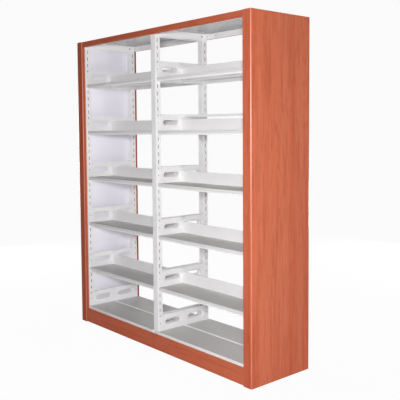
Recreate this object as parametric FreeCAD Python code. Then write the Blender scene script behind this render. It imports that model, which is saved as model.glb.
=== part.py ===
import FreeCAD, Part
import math
import os

# Double sided library shelving: two bays side by side, each with a base deck and five pairs of
# adjustable steel shelves that are reached from the front (-Y) and from the rear (+Y).
# Millimetres. X runs along the bays, Z is up, and the origin is on the floor under the middle frame.

Vector = FreeCAD.Vector

# ---- driving dimensions ------------------------------------------------------------------------

# whole unit
HEIGHT = 2200.0              # floor to the top of the end panels
BAY_PITCH = 900.0            # centre to centre of two neighbouring frames
FRAME_DEPTH = 464.0          # outer face of the front uprights to outer face of the rear ones
LEVELS = 6                   # base deck and adjustable shelves together

# uprights: rectangular steel tube with a column of slots in both side faces
UPRIGHT_WIDTH = 50.0         # along X
UPRIGHT_DEPTH = 42.0         # along Y
UPRIGHT_WALL = 1.5
UPRIGHT_ROUND = 2.0          # tube's outer long edges
SLOT_PITCH = 51.4
SLOT_LENGTH = 26.0
SLOT_WIDTH = 5.0
SLOT_START = 15.4            # height of slot number 0, counted on below the cut ones
SLOT_INSET = 19.0            # outer face of the upright to the middle of the slots
SLOT_END_CLEAR = 8.0         # a channel's edge to the end of the nearest slot
FIRST_LEVEL_SLOT = 3         # slot that carries the base level
TOP_LEVEL_ROOM = 265.0       # least height kept free from the top level's slot to the very top

# head and foot channels that tie a front upright to a rear one
CHANNEL_WALL = 1.5
HEAD_CHANNEL_HEIGHT = 48.0
FOOT_CHANNEL_HEIGHT = 50.0
CHANNEL_SETBACK = 2.0        # channel's end behind the outer face of the uprights
LUG_LENGTH = 18.0
LUG_WALL = 2.0
LUG_CLEAR = 8.0              # lug's edge to the channel's free edge
LUG_BOLT_INSET = 7.0         # upright's inner face to its tie bolts
BOLT_RADIUS = 3.0
BOLT_HEAD_WIDTH = 10.0       # across flats
BOLT_HEAD_HEIGHT = 4.0
BOLT_TAIL = 2.0              # thread that stands out of the nut
HOLE_CLEARANCE = 0.2         # hole radius less shank radius

# levelling feet
FOOT_HEIGHT = 20.0           # floor to the underside of the foot channel
FOOT_PAD_INSET = 2.0         # edge of the pad inside the upright's or the channel's
FOOT_PAD_HEIGHT = 8.0
FOOT_COLLAR_WIDTH = 20.0     # across flats
FOOT_STEM_RADIUS = 5.0
FOOT_STEM_RISE = 25.0        # above the channel's floor

# end panels: C-shaped boards whose noses reach round the end uprights
PANEL_THICKNESS = 28.0
NOSE_WIDTH = 70.0            # along X
NOSE_DEPTH = 25.5            # in front of the uprights
OUTER_ROUND = 8.0
INNER_ROUND = 5.0
LINER_THICKNESS = 2.0
LINER_MARGIN = 2.0
BOARD_GAP = 0.5              # joint between boards that meet end to end

# plinths and fascias
PLINTH_LAP = 9.0             # plinth's top above the foot of the base deck's lip
PLINTH_THICKNESS = 9.0
PLINTH_STAND_OFF = 6.0       # uprights' outer face to the plinth's back
FASCIA_HEIGHT = 40.0
FASCIA_THICKNESS = 19.0
BOARD_EDGE_ROUND = 1.5

# adjustable shelves, base decks and top decks
SHEET = 1.2
BEND = 0.9                   # inside bend radius
SHELF_SETBACK = 8.0          # uprights' outer face to the shelf's lip
SHELF_SIDE_GAP = 2.0         # bracket to the end of a shelf
SHELF_MIDDLE_GAP = 2.0       # middle plane to the back of a shelf
SHELF_LIP = 28.0
LIP_FACE = 20.0              # upper, prouder part of the lip
LIP_STEP = 2.0
LIP_RETURN = 13.0
BACK_RISE = 76.0             # upstand above the shelf
BACK_DROP = 21.0             # hem below the shelf
BACK_HEM_FLAT = 0.4          # between the two bends at the top of the upstand
BASE_DECK_OVERHANG = 5.0     # base deck's lip in front of the uprights
BASE_DECK_BACK_RISE = 4.0
TOP_DECK_DROP = 1.0          # top of the end panels to the top of the deck
TOP_DECK_RAIL = 40.0
TOP_DECK_RETURN = 10.0

# brackets: one full-depth plate hooked on to each side of a frame at each level
BRACKET_WALL = 1.5
HANG_GAP = 0.5               # upright to bracket
BRACKET_RISE = 111.0         # above the shelf
BRACKET_END_SETBACK = 1.0    # shelf's lip to the end of the bracket
EYE_HEIGHT = 54.5            # middle of the oval holes above the shelf
EYE_ABOVE_SLOT = 10.0        # middle of the oval holes above the middle of their slot
TOP_FLANGE = 15.0
SEAT_FLANGE = 18.0
FLANGE_END_GAP = 4.0
DISH_HEIGHT = 56.0
DISH_SLOPE = 7.0
DISH_DEPTH = 4.0
DISH_MARGIN = 6.0
EYE_OPENING = 33.0           # height of the oval hole
EYE_RIM = 17.0               # end of the dish to the end of the oval hole
LOCK_HOLE_RADIUS = 4.0
HOOK_THICKNESS = 3.0
HOOK_TONGUE = 12.0
HOOK_TIP = 7.0
HOOK_REACH = 2.4             # tip's thickness behind the upright's wall
HOOK_PLAY = 0.3

# stop bar between two brackets, hung in the pair of small slots at their middle
STOP_SLOT_SPACING = 21.0
STOP_SLOT_WIDTH = 6.0
STOP_SLOT_HEIGHT = 14.0
STOP_SLOT_DROP = 3.0         # bracket's top edge to the slot
MIDDLE_CLEAR = 18.0          # half of the bracket's plain middle
STOP_BAR_HEIGHT = 17.0
STOP_BAR_THICKNESS = 2.0
STOP_BAR_DROP = 4.0          # bracket's top edge to the bar
STOP_END_WALL = 1.5
STOP_PRONG_WIDTH = 4.0
STOP_PRONG_HEIGHT = 5.0
STOP_PRONG_REACH = 2.0

# wood screws and dowels
SCREW_RADIUS = 2.0
SCREW_HEAD_RADIUS = 4.0
SCREW_HEAD_HEIGHT = 2.5
SCREW_BITE = 14.0            # in a panel or a fascia
PLINTH_SCREW_BITE = 6.0
RAIL_SCREW_OFFSETS = (33.0, 124.0)   # from a frame's middle
PANEL_SCREW_SPREAD = 110.0   # middle plane to a panel screw
PLINTH_SCREW_SPREAD = 12.0
DOWEL_RADIUS = 2.5
DOWEL_LENGTH = 24.0
DOWEL_SETBACK = 4.5          # board's back face to the dowel
FASCIA_DOWEL_SPREAD = 8.0
PLINTH_DOWEL_SPREAD = 36.0

# ---- places worked out from the dimensions -----------------------------------------------------

FRAMES = {"left": -BAY_PITCH, "middle": 0.0, "right": BAY_PITCH}
BAYS = {"left": -BAY_PITCH / 2, "right": BAY_PITCH / 2}
ROWS = {"front": -1, "rear": 1}
SIDES = {"left": -1, "right": 1}

UPRIGHT_OUT = FRAME_DEPTH / 2
UPRIGHT_IN = UPRIGHT_OUT - UPRIGHT_DEPTH
CHANNEL_HALF = UPRIGHT_WIDTH / 2 + CHANNEL_WALL
SLOT_Y = UPRIGHT_OUT - SLOT_INSET
BOLT_Y = UPRIGHT_IN - LUG_BOLT_INSET
FOOT_PAD_RADIUS = min(CHANNEL_HALF, UPRIGHT_DEPTH / 2) - FOOT_PAD_INSET

TOP_DECK_TOP = HEIGHT - TOP_DECK_DROP
HEAD_CHANNEL_TOP = TOP_DECK_TOP - SHEET
HEAD_CHANNEL_FOOT = HEAD_CHANNEL_TOP - HEAD_CHANNEL_HEIGHT
UPRIGHT_TOP = HEAD_CHANNEL_TOP - CHANNEL_WALL
UPRIGHT_FOOT = FOOT_HEIGHT + CHANNEL_WALL
FOOT_CHANNEL_TOP = FOOT_HEIGHT + FOOT_CHANNEL_HEIGHT
HEAD_BOLT_Z = (HEAD_CHANNEL_FOOT + LUG_CLEAR + UPRIGHT_TOP) / 2
FOOT_BOLT_Z = (UPRIGHT_FOOT + FOOT_CHANNEL_TOP - LUG_CLEAR) / 2

LINER_IN = BAY_PITCH + CHANNEL_HALF
PANEL_IN = LINER_IN + LINER_THICKNESS
PANEL_OUT = PANEL_IN + PANEL_THICKNESS
NOSE_IN = PANEL_OUT - NOSE_WIDTH
NOSE_OUT = UPRIGHT_OUT + NOSE_DEPTH
PLINTH_BACK = UPRIGHT_OUT + PLINTH_STAND_OFF
PLINTH_FRONT = PLINTH_BACK + PLINTH_THICKNESS
BOARD_HALF_LENGTH = NOSE_IN - BOARD_GAP

TOP_LEVEL_SLOT = int((HEIGHT - TOP_LEVEL_ROOM - SLOT_START) / SLOT_PITCH)
SHELF_LIP_Y = UPRIGHT_OUT - SHELF_SETBACK
BACK_HEM = 2 * BEND + SHEET + BACK_HEM_FLAT      # between the mid-lines of the upstand's two walls
SHELF_END = BAY_PITCH / 2 - UPRIGHT_WIDTH / 2 - HANG_GAP - BRACKET_WALL - SHELF_SIDE_GAP

# bracket's own heights, counted from the middle of its oval holes
EYE_TO_TOP = BRACKET_RISE - EYE_HEIGHT
EYE_TO_SEAT = -EYE_HEIGHT - SHELF_LIP
EYE_TO_TAB_TOP = SLOT_PITCH - EYE_ABOVE_SLOT
BRACKET_BACK_X = UPRIGHT_WIDTH / 2 + HANG_GAP
BRACKET_FACE_X = BRACKET_BACK_X + BRACKET_WALL
BRACKET_END_Y = SHELF_LIP_Y - BRACKET_END_SETBACK


def slot_height(number):
    return SLOT_START + number * SLOT_PITCH


def eye_height(level):
    """Height of a level's oval holes: the levels take slots as evenly spaced as the pitch allows."""
    span = TOP_LEVEL_SLOT - FIRST_LEVEL_SLOT
    slot = FIRST_LEVEL_SLOT + level * span // (LEVELS - 1)
    return slot_height(slot) + EYE_ABOVE_SLOT


def shelf_height(level):
    return eye_height(level) - EYE_HEIGHT


def plinth_height():
    return shelf_height(0) - SHELF_LIP + PLINTH_LAP


# ---- shapes that several pieces share ----------------------------------------------------------

def box(x0, x1, y0, y1, z0, z1):
    low = Vector(min(x0, x1), min(y0, y1), min(z0, z1))
    return Part.makeBox(abs(x1 - x0), abs(y1 - y0), abs(z1 - z0), low)


def rod(radius, start, end):
    axis = end - start
    return Part.makeCylinder(radius, axis.Length, start, axis)


def hexagon(width, start, end):
    """Hexagonal prism, width across flats, from start to end."""
    axis = end - start
    corners = []
    for step in range(7):
        angle = math.radians(60.0 * step)
        corners.append(Vector(math.cos(angle), math.sin(angle), 0) * (width / math.sqrt(3)))
    face = Part.Face(Part.makePolygon(corners))
    face.Placement = FreeCAD.Placement(start, FreeCAD.Rotation(Vector(0, 0, 1), axis))
    return face.extrude(axis)


def joined(shapes):
    return shapes[0].fuse(shapes[1:]).removeSplitter()


def mirrored_x(shape):
    return shape.mirror(Vector(0, 0, 0), Vector(1, 0, 0))


def mirrored_y(shape):
    return shape.mirror(Vector(0, 0, 0), Vector(0, 1, 0))


def placed(shape, x=0.0, y=0.0, z=0.0):
    copy = shape.copy()
    copy.translate(Vector(x, y, z))
    return copy


def in_row(shape, row):
    """Shapes are drawn for the rear row, where outward is +Y."""
    return shape if ROWS[row] > 0 else mirrored_y(shape)


def side_edges(route, offset, bend):
    """Lines and arcs along a bent route in the YZ plane, offset to its left."""
    runs = [(end - start).normalize() for start, end in zip(route, route[1:])]
    lefts = [Vector(0, -run.z, run.y) for run in runs]
    edges = []
    last = route[0] + lefts[0] * offset
    for corner, run, left, next_run, next_left in zip(route[1:], runs, lefts, runs[1:], lefts[1:]):
        turn = 1.0 if run.cross(next_run).x > 0 else -1.0
        back = bend * math.tan(run.getAngle(next_run) / 2)
        centre = corner - run * back + left * (turn * bend)
        start = corner - run * back + left * offset
        end = corner + next_run * back + next_left * offset
        middle = centre + (corner - centre).normalize() * (bend - turn * offset)
        edges.append(Part.LineSegment(last, start).toShape())
        edges.append(Part.Arc(start, middle, end).toShape())
        last = end
    edges.append(Part.LineSegment(last, route[-1] + lefts[-1] * offset).toShape())
    return edges


def folded_sheet(points, x0, x1):
    """Steel sheet bent along a mid-line of (y, z) points, from x0 to x1."""
    route = [Vector(x0, y, z) for y, z in points]
    bend = BEND + SHEET / 2
    outer = side_edges(route, SHEET / 2, bend)
    inner = side_edges(route, -SHEET / 2, bend)
    ends = []
    for index in (0, -1):
        ends.append(Part.LineSegment(outer[index].Vertexes[index].Point,
                                     inner[index].Vertexes[index].Point).toShape())
    wire = Part.Wire(outer + [ends[1]] + inner[::-1] + [ends[0]])
    return Part.Face(wire).extrude(Vector(x1 - x0, 0, 0))


def oval_wire(x, y, z, length, height):
    """Oval with round ends, its length along Y, in the plane at x."""
    radius = height / 2
    reach = length / 2 - radius
    near_top = Vector(x, y - reach, z + radius)
    far_top = Vector(x, y + reach, z + radius)
    far_foot = Vector(x, y + reach, z - radius)
    near_foot = Vector(x, y - reach, z - radius)
    edges = [
        Part.LineSegment(near_top, far_top).toShape(),
        Part.Arc(far_top, Vector(x, y + length / 2, z), far_foot).toShape(),
        Part.LineSegment(far_foot, near_foot).toShape(),
        Part.Arc(near_foot, Vector(x, y - length / 2, z), near_top).toShape(),
    ]
    return Part.Wire(edges)


def oval_cone(x0, x1, y, length, height, shrink):
    """Solid between an oval at x0 and one that is smaller all round at x1."""
    wide = oval_wire(x0, y, 0, length, height)
    narrow = oval_wire(x1, y, 0, length - 2 * shrink, height - 2 * shrink)
    return Part.makeLoft([wide, narrow], True, True)


# ---- frames ------------------------------------------------------------------------------------

def slot_numbers():
    low = FOOT_CHANNEL_TOP + SLOT_END_CLEAR + SLOT_LENGTH / 2
    high = HEAD_CHANNEL_FOOT - SLOT_END_CLEAR - SLOT_LENGTH / 2
    first = math.ceil((low - SLOT_START) / SLOT_PITCH)
    last = math.floor((high - SLOT_START) / SLOT_PITCH)
    return range(first, last + 1)


def upright():
    """Rear upright of the middle frame: slotted tube with bolt lugs at its head and foot."""
    half = UPRIGHT_WIDTH / 2
    inner = half - UPRIGHT_WALL
    tube = box(-half, half, UPRIGHT_IN, UPRIGHT_OUT, UPRIGHT_FOOT, UPRIGHT_TOP)
    long_edges = [edge for edge in tube.Edges if abs(edge.Length - tube.BoundBox.ZLength) < 0.01]
    tube = tube.makeFillet(UPRIGHT_ROUND, long_edges)
    bore = box(-inner, inner, UPRIGHT_IN + UPRIGHT_WALL, UPRIGHT_OUT - UPRIGHT_WALL,
               UPRIGHT_FOOT - 1, UPRIGHT_TOP + 1)
    slots = []
    for number in slot_numbers():
        middle = slot_height(number)
        slots.append(box(-half - 1, half + 1, SLOT_Y - SLOT_WIDTH / 2, SLOT_Y + SLOT_WIDTH / 2,
                         middle - SLOT_LENGTH / 2, middle + SLOT_LENGTH / 2))
    lugs = []
    holes = []
    heights = ((UPRIGHT_FOOT, FOOT_CHANNEL_TOP - LUG_CLEAR, FOOT_BOLT_Z),
               (HEAD_CHANNEL_FOOT + LUG_CLEAR, UPRIGHT_TOP, HEAD_BOLT_Z))
    for low, high, bolt_z in heights:
        for side in SIDES.values():
            lugs.append(box(side * (half - LUG_WALL), side * half,
                            UPRIGHT_IN - LUG_LENGTH, UPRIGHT_IN + UPRIGHT_ROUND, low, high))
        holes.append(rod(BOLT_RADIUS + HOLE_CLEARANCE, Vector(-half - 1, BOLT_Y, bolt_z),
                         Vector(half + 1, BOLT_Y, bolt_z)))
    return joined([tube] + lugs).cut(bore).cut(Part.makeCompound(slots + holes))


def channel_holes(frame, bolt_z):
    """Tie-bolt holes through both flanges, and panel-screw holes where a panel stands outside."""
    holes = []
    for row in ROWS.values():
        y = row * BOLT_Y
        holes.append(rod(BOLT_RADIUS + HOLE_CLEARANCE, Vector(-CHANNEL_HALF - 1, y, bolt_z),
                         Vector(CHANNEL_HALF + 1, y, bolt_z)))
        if frame in SIDES:
            side = SIDES[frame]
            y = row * PANEL_SCREW_SPREAD
            holes.append(rod(SCREW_RADIUS + HOLE_CLEARANCE, Vector(0, y, bolt_z),
                             Vector(side * (CHANNEL_HALF + 1), y, bolt_z)))
    return Part.makeCompound(holes)


def head_channel(frame):
    """Inverted channel over the heads of a frame's two uprights."""
    end = UPRIGHT_OUT - CHANNEL_SETBACK
    inner = UPRIGHT_WIDTH / 2
    outside = box(-CHANNEL_HALF, CHANNEL_HALF, -end, end, HEAD_CHANNEL_FOOT, HEAD_CHANNEL_TOP)
    inside = box(-inner, inner, -end - 1, end + 1, HEAD_CHANNEL_FOOT - 1, UPRIGHT_TOP)
    return outside.cut(inside).cut(channel_holes(frame, HEAD_BOLT_Z))


def foot_channel(frame):
    """Channel under a frame's uprights; the middle one has end plates that hold the plinths."""
    end = UPRIGHT_OUT - CHANNEL_SETBACK
    inner = UPRIGHT_WIDTH / 2
    if frame == "middle":
        end = PLINTH_BACK
    outside = box(-CHANNEL_HALF, CHANNEL_HALF, -end, end, FOOT_HEIGHT, FOOT_CHANNEL_TOP)
    inner_end = end - CHANNEL_WALL if frame == "middle" else end + 1
    inside = box(-inner, inner, -inner_end, inner_end, UPRIGHT_FOOT, FOOT_CHANNEL_TOP + 1)
    shape = outside.cut(inside).cut(channel_holes(frame, FOOT_BOLT_Z))
    stem_y = (UPRIGHT_IN + UPRIGHT_OUT) / 2
    holes = []
    for row in ROWS.values():
        holes.append(rod(FOOT_STEM_RADIUS + HOLE_CLEARANCE, Vector(0, row * stem_y, FOOT_HEIGHT - 1),
                         Vector(0, row * stem_y, UPRIGHT_FOOT + 1)))
        if frame == "middle":
            for side in SIDES.values():
                x = side * PLINTH_SCREW_SPREAD
                holes.append(rod(SCREW_RADIUS + HOLE_CLEARANCE,
                                 Vector(x, row * (end - CHANNEL_WALL - 1), FOOT_BOLT_Z),
                                 Vector(x, row * (end + 1), FOOT_BOLT_Z)))
    return shape.cut(Part.makeCompound(holes))


def levelling_foot():
    """Screwed foot under one upright: pad, hexagonal collar and threaded stem."""
    y = (UPRIGHT_IN + UPRIGHT_OUT) / 2
    floor = Vector(0, y, 0)
    pad_top = Vector(0, y, FOOT_PAD_HEIGHT)
    collar_top = Vector(0, y, FOOT_HEIGHT)
    stem_top = Vector(0, y, UPRIGHT_FOOT + FOOT_STEM_RISE)
    return joined([rod(FOOT_PAD_RADIUS, floor, pad_top),
                   hexagon(FOOT_COLLAR_WIDTH, pad_top, collar_top),
                   rod(FOOT_STEM_RADIUS, pad_top, stem_top)])


def tie_bolt(side, y, z):
    """Hexagon bolt from the bay side through a channel's flange and an upright's lug, and its nut."""
    face = Vector(side * CHANNEL_HALF, y, z)
    out = Vector(side, 0, 0)
    lug_back = face - out * (CHANNEL_WALL + LUG_WALL)
    nut_back = lug_back - out * BOLT_HEAD_HEIGHT
    bolt = joined([hexagon(BOLT_HEAD_WIDTH, face, face + out * BOLT_HEAD_HEIGHT),
                   rod(BOLT_RADIUS, face, nut_back - out * BOLT_TAIL)])
    nut = hexagon(BOLT_HEAD_WIDTH, lug_back, nut_back).cut(rod(BOLT_RADIUS, lug_back, nut_back))
    return [bolt, nut]


def tie_bolts():
    pieces = []
    for frame, x in FRAMES.items():
        for side in SIDES.values():
            if frame in SIDES and SIDES[frame] == side:
                continue
            for row in ROWS.values():
                for z in (FOOT_BOLT_Z, HEAD_BOLT_Z):
                    for piece in tie_bolt(side, row * BOLT_Y, z):
                        pieces.append(placed(piece, x))
    return pieces


# ---- end panels, liners, plinths and fascias ---------------------------------------------------

def panel_outline():
    """Plan of the right end panel: a C that opens towards the frame."""
    def corner(x, y, from_x, from_y, to_x, to_y):
        """Arc at (x, y) that starts and ends the given offsets away, and the point half way."""
        centre = Vector(x + from_x + to_x, y + from_y + to_y, 0)
        radius = max(abs(from_x), abs(from_y))
        middle = centre + (Vector(x, y, 0) - centre).normalize() * radius
        return Vector(x + from_x, y + from_y, 0), middle, Vector(x + to_x, y + to_y, 0)

    corners = [
        corner(NOSE_IN, -NOSE_OUT, 0, INNER_ROUND, INNER_ROUND, 0),
        corner(PANEL_OUT, -NOSE_OUT, -OUTER_ROUND, 0, 0, OUTER_ROUND),
        corner(PANEL_OUT, NOSE_OUT, 0, -OUTER_ROUND, -OUTER_ROUND, 0),
        corner(NOSE_IN, NOSE_OUT, INNER_ROUND, 0, 0, -INNER_ROUND),
    ]
    inside = [Vector(NOSE_IN, UPRIGHT_OUT, 0), Vector(PANEL_IN, UPRIGHT_OUT, 0),
              Vector(PANEL_IN, -UPRIGHT_OUT, 0), Vector(NOSE_IN, -UPRIGHT_OUT, 0)]
    edges = []
    last = inside[-1]
    for start, middle, end in corners:
        edges.append(Part.LineSegment(last, start).toShape())
        edges.append(Part.Arc(start, middle, end).toShape())
        last = end
    for point in inside:
        edges.append(Part.LineSegment(last, point).toShape())
        last = point
    return Part.Wire(edges)


def end_panel():
    """Right end panel with blind holes for its screws and for the dowels of the boards."""
    panel = Part.Face(panel_outline()).extrude(Vector(0, 0, HEIGHT))
    holes = []
    for screw_x, y, z in panel_screw_places():
        holes.append(rod(SCREW_RADIUS + HOLE_CLEARANCE, Vector(screw_x, y, z),
                         Vector(PANEL_IN + SCREW_BITE + HOLE_CLEARANCE, y, z)))
    for y, z in dowel_places():
        holes.append(rod(DOWEL_RADIUS + HOLE_CLEARANCE, Vector(NOSE_IN - 1, y, z),
                         Vector(NOSE_IN + DOWEL_LENGTH / 2 + HOLE_CLEARANCE, y, z)))
    return panel.cut(Part.makeCompound(holes))


def end_liner():
    """White sheet on the inner face of the right end panel, between its noses."""
    y = UPRIGHT_OUT - LINER_MARGIN
    sheet = box(LINER_IN, PANEL_IN, -y, y, LINER_MARGIN, HEIGHT - LINER_MARGIN)
    holes = []
    for screw_x, screw_y, z in panel_screw_places():
        holes.append(rod(SCREW_RADIUS + HOLE_CLEARANCE, Vector(screw_x, screw_y, z),
                         Vector(PANEL_IN + 1, screw_y, z)))
    return sheet.cut(Part.makeCompound(holes))


def soft_board(x_half, y0, y1, z0, z1):
    """Board along X with its two long outer edges slightly rounded."""
    board = box(-x_half, x_half, y0, y1, z0, z1)
    outer = []
    for edge in board.Edges:
        middle = edge.CenterOfMass
        if abs(middle.y - y1) < 0.01 and abs(middle.x) < 0.01:
            outer.append(edge)
    return board.makeFillet(BOARD_EDGE_ROUND, outer)


def board_dowel_holes(back):
    holes = []
    for y, z in dowel_places(back):
        for side in SIDES.values():
            holes.append(rod(DOWEL_RADIUS + HOLE_CLEARANCE, Vector(side * (NOSE_IN + 1), y, z),
                             Vector(side * (NOSE_IN - DOWEL_LENGTH / 2 - HOLE_CLEARANCE), y, z)))
    return holes


def plinth():
    """Rear plinth: a board on the floor, held by dowels at its ends and screws at its middle."""
    board = soft_board(BOARD_HALF_LENGTH, PLINTH_BACK, PLINTH_FRONT, 0, plinth_height())
    holes = board_dowel_holes(PLINTH_BACK)
    for side in SIDES.values():
        x = side * PLINTH_SCREW_SPREAD
        holes.append(rod(SCREW_RADIUS + HOLE_CLEARANCE, Vector(x, PLINTH_BACK - 1, FOOT_BOLT_Z),
                         Vector(x, PLINTH_BACK + PLINTH_SCREW_BITE + HOLE_CLEARANCE, FOOT_BOLT_Z)))
    return board.cut(Part.makeCompound(holes))


def fascia():
    """Rear fascia: a board in front of the top decks' rails, level with the end panels."""
    board = soft_board(BOARD_HALF_LENGTH, UPRIGHT_OUT, UPRIGHT_OUT + FASCIA_THICKNESS,
                       HEIGHT - FASCIA_HEIGHT, HEIGHT)
    holes = board_dowel_holes(UPRIGHT_OUT)
    for x, z in rail_screw_places():
        holes.append(rod(SCREW_RADIUS + HOLE_CLEARANCE, Vector(x, UPRIGHT_OUT - 1, z),
                         Vector(x, UPRIGHT_OUT + SCREW_BITE + HOLE_CLEARANCE, z)))
    return board.cut(Part.makeCompound(holes))


# ---- places of screws and dowels ---------------------------------------------------------------

def panel_screw_places():
    """Right panel: inner end and place of each screw through a channel's outer flange."""
    places = []
    for y in (-PANEL_SCREW_SPREAD, PANEL_SCREW_SPREAD):
        for z in (FOOT_BOLT_Z, HEAD_BOLT_Z):
            places.append((LINER_IN - CHANNEL_WALL, y, z))
    return places


def rail_screw_places():
    """Both bays: places of the screws through a top deck's rail into a fascia."""
    z = HEIGHT - FASCIA_HEIGHT / 2
    places = []
    for middle in BAYS.values():
        for offset in RAIL_SCREW_OFFSETS:
            for side in SIDES.values():
                places.append((middle + side * (BAY_PITCH / 2 - offset), z))
    return places


def dowel_places(back=None):
    """Dowels in a panel's noses, or those of the rear board whose back face is given."""
    fascia_z = HEIGHT - FASCIA_HEIGHT / 2
    plinth_z = plinth_height() / 2
    boards = {UPRIGHT_OUT: (fascia_z - FASCIA_DOWEL_SPREAD, fascia_z + FASCIA_DOWEL_SPREAD),
              PLINTH_BACK: (plinth_z - PLINTH_DOWEL_SPREAD, plinth_z + PLINTH_DOWEL_SPREAD)}
    places = []
    for board_back, heights in boards.items():
        for z in heights:
            y = board_back + DOWEL_SETBACK
            if back is None:
                places.append((y, z))
                places.append((-y, z))
            elif board_back == back:
                places.append((y, z))
    return places


def screw(seat, out, bite):
    """Pan-head screw with its head on seat, and its shank reaching bite beyond it along out."""
    return joined([rod(SCREW_HEAD_RADIUS, seat - out * SCREW_HEAD_HEIGHT, seat),
                   rod(SCREW_RADIUS, seat - out, seat + out * bite)])


def wood_screws():
    pieces = []
    for x, y, z in panel_screw_places():
        for side in SIDES.values():
            depth = PANEL_IN - x + SCREW_BITE
            pieces.append(screw(Vector(side * x, y, z), Vector(side, 0, 0), depth))
    for row in ROWS.values():
        out = Vector(0, row, 0)
        for x, z in rail_screw_places():
            seat = Vector(x, row * (UPRIGHT_OUT - SHEET), z)
            pieces.append(screw(seat, out, SHEET + SCREW_BITE))
        for side in SIDES.values():
            seat = Vector(side * PLINTH_SCREW_SPREAD, row * (PLINTH_BACK - CHANNEL_WALL), FOOT_BOLT_Z)
            pieces.append(screw(seat, out, CHANNEL_WALL + PLINTH_SCREW_BITE))
    return pieces


def dowels():
    pieces = []
    for y, z in dowel_places():
        for side in SIDES.values():
            middle = side * NOSE_IN
            pieces.append(rod(DOWEL_RADIUS, Vector(middle - DOWEL_LENGTH / 2, y, z),
                              Vector(middle + DOWEL_LENGTH / 2, y, z)))
    return pieces


# ---- shelves and decks -------------------------------------------------------------------------

def tray(lip_y, back_rise):
    """Rear tray with its top at height 0: stepped lip, hemmed upstand at the back, end flanges."""
    half = SHEET / 2
    front = lip_y - half
    back = SHELF_MIDDLE_GAP + half
    folds = [
        (front - LIP_STEP - LIP_RETURN, -SHELF_LIP + half),
        (front - LIP_STEP, -SHELF_LIP + half),
        (front - LIP_STEP, -LIP_FACE - half - LIP_STEP / 2),
        (front, -LIP_FACE + half + LIP_STEP / 2),
        (front, -half),
        (back + BACK_HEM, -half),
        (back + BACK_HEM, back_rise - half),
        (back, back_rise - half),
        (back, -BACK_DROP),
    ]
    body = folded_sheet(folds, -SHELF_END, SHELF_END)
    ends = []
    for side in SIDES.values():
        ends.append(box(side * (SHELF_END - SHEET), side * SHELF_END,
                        back + BACK_HEM + BEND + SHEET, front - LIP_STEP - BEND - SHEET,
                        -SHELF_LIP, -half))
    return joined([body] + ends)


def top_deck(bay):
    """Sheet with a rail along its front and rear edges, laid over the heads of two frames."""
    half = SHEET / 2
    outer_y = UPRIGHT_OUT - half
    top = TOP_DECK_TOP - half
    low = TOP_DECK_TOP - TOP_DECK_RAIL + half
    side = SIDES[bay]
    inner_end = BOARD_GAP
    outer_end = BAY_PITCH + CHANNEL_HALF - BOARD_GAP
    folds = [(-outer_y + TOP_DECK_RETURN, low), (-outer_y, low), (-outer_y, top),
             (outer_y, top), (outer_y, low), (outer_y - TOP_DECK_RETURN, low)]
    deck = folded_sheet(folds, inner_end, outer_end)
    reach = CHANNEL_HALF + BOARD_GAP
    cuts = []
    for middle in (0.0, BAY_PITCH):
        cuts.append(box(middle - reach, middle + reach, -UPRIGHT_OUT - 1, UPRIGHT_OUT + 1,
                        TOP_DECK_TOP - TOP_DECK_RAIL - 1, HEAD_CHANNEL_TOP))
    for x, z in rail_screw_places():
        if x > 0:
            for row in ROWS.values():
                cuts.append(rod(SCREW_RADIUS + HOLE_CLEARANCE, Vector(x, row * (outer_y - 2), z),
                                Vector(x, row * (outer_y + 2), z)))
    deck = deck.cut(Part.makeCompound(cuts))
    return deck if side > 0 else mirrored_x(deck)


# ---- brackets and stop bar ---------------------------------------------------------------------

def hook(slot_z):
    """Hook through the slot whose middle is at slot_z, in the rear upright."""
    foot = slot_z - SLOT_LENGTH / 2
    wall_back = UPRIGHT_WIDTH / 2 - UPRIGHT_WALL - HOOK_PLAY
    tip_x = wall_back - HOOK_REACH
    y0 = SLOT_Y - HOOK_THICKNESS / 2
    y1 = SLOT_Y + HOOK_THICKNESS / 2
    tongue = box(tip_x, BRACKET_BACK_X + BRACKET_WALL / 2, y0, y1, foot, foot + HOOK_TONGUE)
    tip = box(tip_x, wall_back, y0, y1, foot - HOOK_TIP, foot + HOOK_TONGUE)
    return [tongue, tip]


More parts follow.
